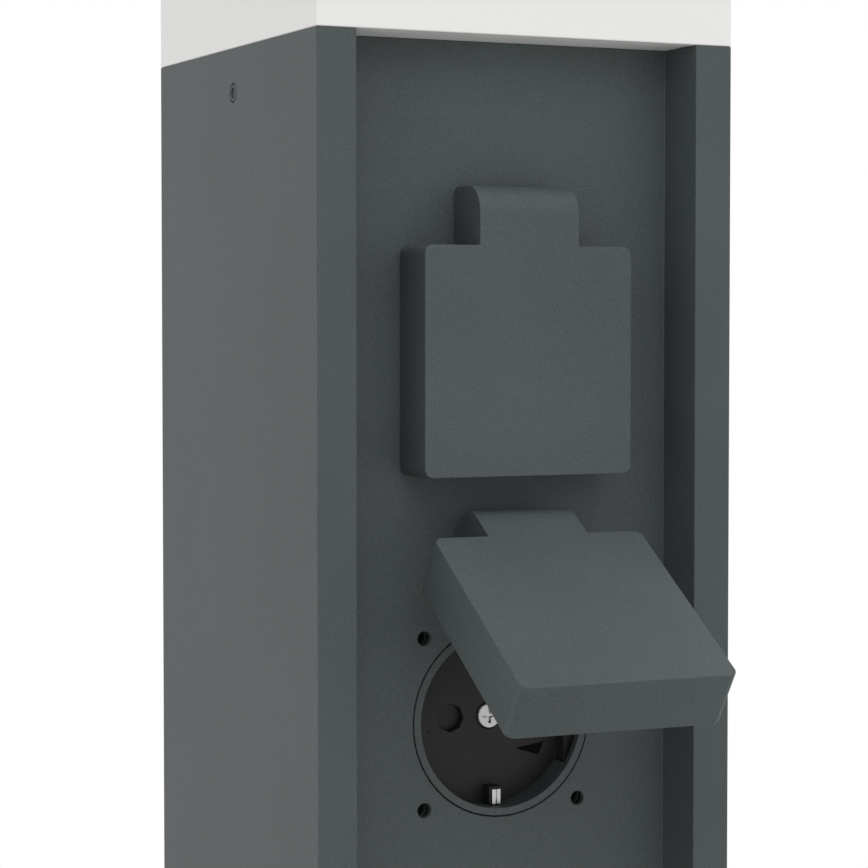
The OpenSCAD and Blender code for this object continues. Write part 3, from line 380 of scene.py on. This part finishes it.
def screws(node, name, slot, material, towards, shank, pitch, head, drive, size, depth):
    """All screws of a node; head is their outline from the underside, at height 0, to the top."""
    bm = bmesh.new()
    towards = Vector(towards)
    axis = max(range(3), key=lambda k: abs(towards[k]))
    head_high = head[-1][1]
    tip_long = 0.3
    for low, high in islands(node):
        top = (low + high) / 2
        top[axis] = high[axis] if towards[axis] > 0 else low[axis]
        end = head_high - (high[axis] - low[axis]) / MM
        parts = (driven(head, drive, size, depth), threaded(shank, pitch, end + tip_long, 0),
            tip_of(shank, end, 0.6, 0.75, tip_long))
        add_to(bm, frame_at(top - towards * head_high * MM, towards), *parts)
    place_screws(bm, name, material, node)


def pan(r, t, flat=0.62):
    """Outline of a pan head: a round plate whose top edge is curved down."""
    return [(0, 0), (r, 0), (r, 0.35 * t), (0.965 * r, 0.62 * t), (0.86 * r, 0.85 * t), (flat * r, t)]


def sunk(shank, r, t):
    """Outline of a countersunk head, its top flush with the plate."""
    return [(0, 0), (shank, 0), (r, t), (r - 0.05, t + 0.05)]


M3_PAN = dict(shank=1.5, pitch=M3_PITCH, head=pan(2.6, 1.8), drive="cross", size=1.4, depth=1)
M3_SUNK = dict(shank=1.5, pitch=M3_PITCH, head=sunk(1.5, 2.5, 1.25), drive="cross", size=1.3, depth=0.9)
M4_PAN = dict(shank=2, pitch=M4_PITCH, head=pan(3.8, 2.4), drive="cross", size=2, depth=1.4)
M4_FLAT = dict(shank=2, pitch=M4_PITCH, head=pan(2.95, 1.2, 0.9), drive="cross", size=1.7, depth=0.7)
M6_SUNK = dict(shank=3, pitch=M6_PITCH, head=sunk(3, 5.75, 2.75), drive="hex", size=2.1, depth=2)
stainless = surface("stainless", (0.45, 0.45, 0.445), 0.3, metal=1.0, grain=3200, relief=0.004,
    mottle=0.05, patch=400)
turned_steel = surface("turned_steel", (0.56, 0.57, 0.575), 0.3, metal=1.0, relief=0.006,
    mottle=0.08, patch=160)
bright_brass = surface("bright_brass", (0.72, 0.53, 0.22), 0.25, metal=1.0, grain=2000,
    relief=0.005, patch=200)


# Foot: a laser-cut aluminium plate in the post's coat, on a rubber pad, under four countersunk screws.
# The rubber grommet lines the hole where the supply comes out of the ground.
foot_rubber = surface("foot_rubber", (0.022, 0.022, 0.022), 0.72, grain=1300, relief=0.06,
    mottle=0.2, patch=60)
soft_rubber = surface("soft_rubber", (0.018, 0.018, 0.018), 0.62, grain=2600, relief=0.02,
    mottle=0.15, patch=90)
worked("foot_plate", "foot_flange", "root", slate_coat, 0.6, 3)
worked("foot_seal", "foot_pad", "root", foot_rubber, 0.4)
worked("cable_grommet", "ground_cable_grommet", "root", soft_rubber, 0.6, 3)
screws("foot_screws", "foot_post_screws", "bright_steel", turned_steel, DOWN, **M6_SUNK)


# Lamp head: a square opal box moulded in one, on a white base plate whose tabs enter the post.
# Two grub screws in the post's own coat go through its sides and lock the base plate.
opal = surface("opal_hood", (0.79, 0.788, 0.772), 0.42, grain=900, relief=0.003, mottle=0.008)
white_coat = surface("white_coat", (0.9, 0.9, 0.87), 0.42, grain=2600, relief=0.02, mottle=0.02)
rolled = surface("rolled_aluminium", (0.74, 0.75, 0.76), 0.34, metal=1.0, grain=500, relief=0.006,
    stretch=(0.04, 1, 1))
solder_mask = surface("solder_mask", (0.83, 0.83, 0.8), 0.3, grain=900, relief=0.004, mottle=0.02)
phosphor = surface("phosphor", (0.86, 0.56, 0.06), 0.32, grain=3000, relief=0.01, mottle=0.12)
solder = surface("solder", (0.6, 0.6, 0.58), 0.28, metal=1.0, grain=2600, relief=0.01, mottle=0.06,
    patch=500)
driver_case = surface("driver_case", (0.72, 0.72, 0.69), 0.45, grain=1700, relief=0.02, mottle=0.03)
worked("hood", "opal_hood_box", "root", opal, 0.35, 3)
worked("head_base", "head_base_plate", "root", white_coat, 0.3)
worked("hood_seal", "hood_gasket", "root", soft_rubber, 0.3)
worked("lamp_plate", "lamp_heat_plate", "root", rolled, 0.2)
worked("lamp_board", "lamp_circuit_board", "root", solder_mask, 0.12)
worked("driver", "lamp_driver", "root", driver_case, 0.9, 3)
worked("lamp_chips", "light_chips", "root", solder_mask, 0.12)
screws("hood_screws", "hood_holding_screws", "bright_steel", stainless, DOWN, **M3_SUNK)
screws("lamp_screws", "lamp_plate_screws", "bright_steel", stainless, UP, **M3_PAN)
screws("driver_screws", "driver_holding_screws", "bright_steel", stainless, DOWN, **M3_PAN)

# Each light chip has an amber lens let into its top, and a solder pad at either end.
LENS_SEAT = 0.06
LENS_SHARE = 0.42
PAD_LONG, PAD_HIGH = 1.1 * MM, 0.12 * MM
lenses = bmesh.new()
pads = bmesh.new()
for low, high in islands("lamp_chips"):
    crown = Vector(((low.x + high.x) / 2, (low.y + high.y) / 2, high.z - LENS_SEAT * MM))
    r = LENS_SHARE * (high.x - low.x) / MM
    dome = [(0, 0), (r, 0), (r, 0.1), (0.8 * r, 0.24), (0.4 * r, 0.32), (0, 0.34)]
    add_to(lenses, Matrix.Translation(crown), turned(dome, 24))
    for out_x in (low.x, high.x):
        at = Matrix.Translation((out_x, crown.y, low.z + PAD_HIGH / 2))
        pad_size = Matrix.Diagonal((PAD_LONG, 1.5 * r * MM, PAD_HIGH, 1))
        bmesh.ops.create_cube(pads, size=1, matrix=at @ pad_size)
bmesh.ops.recalc_face_normals(lenses, faces=lenses.faces)
place(lenses, "phosphor_lenses", "root", phosphor)
place(pads, "solder_pads", "root", solder, edge=0.04)

# A grub screw is a chamfered cup with a deep hexagon, and a thread that runs to its point.
CUP_DEEP, HEX_DEEP = 2.4, 2.2
CUP_EDGE, CHAMFER = 0.4, 0.25
POINT_LONG = 0.5
bm = bmesh.new()
for low, high in islands("set_screws"):
    out_x = -1 if low.x < 0 else 1
    middle = (low + high) / 2
    middle.x = low.x if out_x < 0 else high.x
    r = (high.z - low.z) / 2 / MM
    end = (low.x - high.x) / MM
    core_r = 0.9 * r
    cup = [(0, -CUP_DEEP), (core_r, -CUP_DEEP), (core_r, -CUP_EDGE)]
    cup += [(r, -CUP_EDGE), (r, -CHAMFER), (r - CHAMFER, 0)]
    thread = threaded(r, M4_PITCH, end + POINT_LONG, OVERLAP - CUP_EDGE)
    point = tip_of(r, end, 0.5, 0.72, POINT_LONG)
    add_to(bm, frame_at(middle, (out_x, 0, 0)), driven(cup, "hex", 0.7 * r, HEX_DEEP), thread, point)
place_screws(bm, "side_set_screws", slate_coat, "set_screws")


# Sockets: a cast carrier with the round collar, bolted behind the channel floor through a rubber seal.
# The black insert takes the plug, the shutter covers its pin holes, and the cream base holds the sleeves.
moulded_black = surface("moulded_black", (0.018, 0.018, 0.018), 0.5, grain=3000, relief=0.012,
    mottle=0.12, Specular_IOR_Level=0.25)
shutter_black = surface("shutter_black", (0.016, 0.016, 0.016), 0.45, grain=3400, relief=0.008,
    mottle=0.1, Specular_IOR_Level=0.25)
# Painted shade: a near-black, nearly unreflecting finish for the sheets that stand for the shadow in the
# face's wedge windows.
window_shade_black = surface("window_shade_black", (0.005, 0.005, 0.005), 0.8, grain=3000, relief=0.01, mottle=0.1,
    Specular_IOR_Level=0.05)
thermoset = surface("cream_thermoset", (0.68, 0.63, 0.52), 0.48, grain=1500, relief=0.015, mottle=0.05)
box_black = surface("box_black", (0.02, 0.02, 0.021), 0.55, grain=1500, relief=0.03, mottle=0.12)
spring_strip = surface("spring_strip", (0.5, 0.5, 0.49), 0.3, metal=1.0, grain=900, relief=0.006,
    stretch=(1, 1, 0.05))
# Two wedge-shaped windows in the insert's face are filled nearly to the front with near-black sheets,
# darker and duller than the moulding: painted shade that stands for the shadow inside them.
# Their corners are X and Z in millimetres from the socket's centre.
FACE_MARKS = (((6.8, -7.9), (14, -6.8), (12.6, -9.7)), ((-14.8, -3), (-18, -2.1), (-18, -3.5)))
FACE_THICK = 1.6 * MM
MARK_SUNK = 0.1 * MM
SHUTTER_GAP = 0.2 * MM
for level in ("upper", "lower"):
    worked(level + "_carrier", level + "_socket_carrier", "root", slate_coat, 0.15)
    worked(level + "_panel_seal", level + "_panel_gasket", "root", soft_rubber, 0.15)
    worked(level + "_insert", level + "_socket_insert", "root", moulded_black, 0.1)
    insert_low, insert_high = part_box(level + "_insert")
    centre_z = (insert_low.z + insert_high.z) / 2
    face_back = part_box(level + "_shutter")[0].y - SHUTTER_GAP
    # Painted shade: near-black sheets in the wedge windows, sunk just behind the face.
    marks = bmesh.new()
    for outline in FACE_MARKS:
        corners = [marks.verts.new((x * MM, face_back, centre_z + z * MM)) for x, z in outline]
        grown = bmesh.ops.extrude_face_region(marks, geom=[marks.faces.new(corners)])["geom"]
        bmesh.ops.translate(marks, verts=verts_in(grown), vec=(0, MARK_SUNK - FACE_THICK, 0))
    bmesh.ops.recalc_face_normals(marks, faces=marks.faces)
    place(marks, level + "_face_window_shade", "root", window_shade_black)
    worked(level + "_shutter", level + "_pin_shutter", level + "_shutter",
        shutter_black, 0.1)
    worked(level + "_base", level + "_terminal_base", "root", thermoset, 0.3)
    worked(level + "_earth_strap", level + "_earth_clips", "root", spring_strip, 0.07)
    worked(level + "_contacts", level + "_contact_sleeves", "root", bright_brass, 0.1)
    worked(level + "_rear_box", level + "_socket_rear_box", "root", box_black, 0.5, 3)
    screws(level + "_centre_screw", level + "_face_screw", "bright_steel", stainless, FRONT, **M4_FLAT)
worked("panel_studs", "welded_carrier_studs", "root", turned_steel, 0.2)
worked("carrier_nuts", "carrier_clamp_nuts", "root", turned_steel, 0.3)
screws("rear_box_screws", "rear_box_holding_screws", "bright_steel", stainless, BACK, **M3_PAN)


# Flaps: zinc castings in the post's colour, each with a hinge tab on top and a rubber ring inside.
# The pin turns in the carrier's knuckle, and two stiff washers hold the flap where it is put.
washer_plastic = surface("washer_plastic", (0.72, 0.69, 0.58), 0.4, grain=2500, relief=0.006)
for level in ("upper", "lower"):
    body = level + "_flap"
    worked(level + "_flap", level + "_flap_casting", body, slate_coat, 0.22)
    worked(level + "_flap_gasket", level + "_flap_ring", body, soft_rubber, 0.2)
    worked(level + "_hinge_pin", level + "_flap_hinge_pin", body, stainless, 0.15)
    worked(level + "_hinge_washers", level + "_flap_friction_washers", body,
        washer_plastic, 0.08)


# Wiring space: a plated steel rail on the foot carries the grey junction box and the earth stud.
# The supply comes up through the gland, and sheathed leads run on to the sockets and the lamp.
plated_steel = surface("plated_steel", (0.6, 0.62, 0.66), 0.34, metal=1.0, grain=700, relief=0.008,
    mottle=0.12, patch=90)
box_plastic = surface("box_plastic", (0.6, 0.61, 0.6), 0.5, grain=1600, relief=0.02, mottle=0.03)
gland_plastic = surface("gland_plastic", (0.04, 0.042, 0.046), 0.5, grain=2000, relief=0.015,
    mottle=0.1)
sheath = surface("lead_sheath", (0.026, 0.026, 0.026), 0.46, grain=1200, relief=0.02, mottle=0.1)
worked("rail", "mounting_rail", "root", plated_steel, 0.3)
worked("junction_box", "junction_box_tray", "root", box_plastic, 0.6, 3)
worked("junction_cover", "junction_box_cover", "root", box_plastic, 0.8, 3)
worked("terminal_block", "terminal_strip", "root", thermoset, 0.3)
worked("supply_gland", "supply_cable_gland", "root", gland_plastic, 0.4)
worked("outlet_grommets", "lead_outlet_grommets", "root", soft_rubber, 0.3)
worked("earth_stud", "rail_earth_stud", "root", bright_brass, 0.2)
worked("socket_leads", "socket_supply_leads", "root", sheath, 0.2)
worked("lamp_leads", "lamp_supply_leads", "root", sheath, 0.15)
TERMINAL_HEAD = [(0, 0), (2, 0), (2, 0.4), (1.8, 0.6)]
screws("rail_screws", "rail_foot_screws", "bright_steel", stainless, UP, **M4_PAN)
screws("terminal_screws", "terminal_clamp_screws", "contact_brass", bright_brass, FRONT, shank=2,
    pitch=M4_PITCH, head=TERMINAL_HEAD, drive="slot", size=1.7, depth=0.5)
screws("junction_screws", "junction_box_screws", "bright_steel", stainless, FRONT, **M4_PAN)


# Earth lead: a wire in a green plastic sheath with slanting yellow stripes.
# Its ring is clamped on the rail's stud, and its upper end goes into the junction box.
STRIPE_SCALE = 55
YELLOW_ABOVE = 0.62
YELLOW = (0.72, 0.62, 0.02, 1)
earth_sheath = surface("earth_sheath", (0.05, 0.24, 0.04), 0.42, grain=1200, relief=0.015, mottle=0.08)
tree = earth_sheath.node_tree
add = node_adder(tree)
bands = add("ShaderNodeTexWave", bands_direction="DIAGONAL", Scale=STRIPE_SCALE)
tree.links.new(tree.nodes["Texture Coordinate"].outputs["Object"], bands.inputs["Vector"])
striped = add("ShaderNodeMath", operation="GREATER_THAN")
striped.inputs[1].default_value = YELLOW_ABOVE
tree.links.new(bands.outputs["Fac"], striped.inputs[0])
two_colours = add("ShaderNodeMix", data_type="RGBA")
two_colours.inputs[7].default_value = YELLOW
base_colour = tree.nodes["Principled BSDF"].inputs["Base Color"]
tree.links.new(striped.outputs[0], two_colours.inputs[0])
tree.links.new(base_colour.links[0].from_socket, two_colours.inputs[6])
tree.links.new(two_colours.outputs[2], base_colour)
worked("earth_lead", "earth_wire", "root", earth_sheath, 0.15)
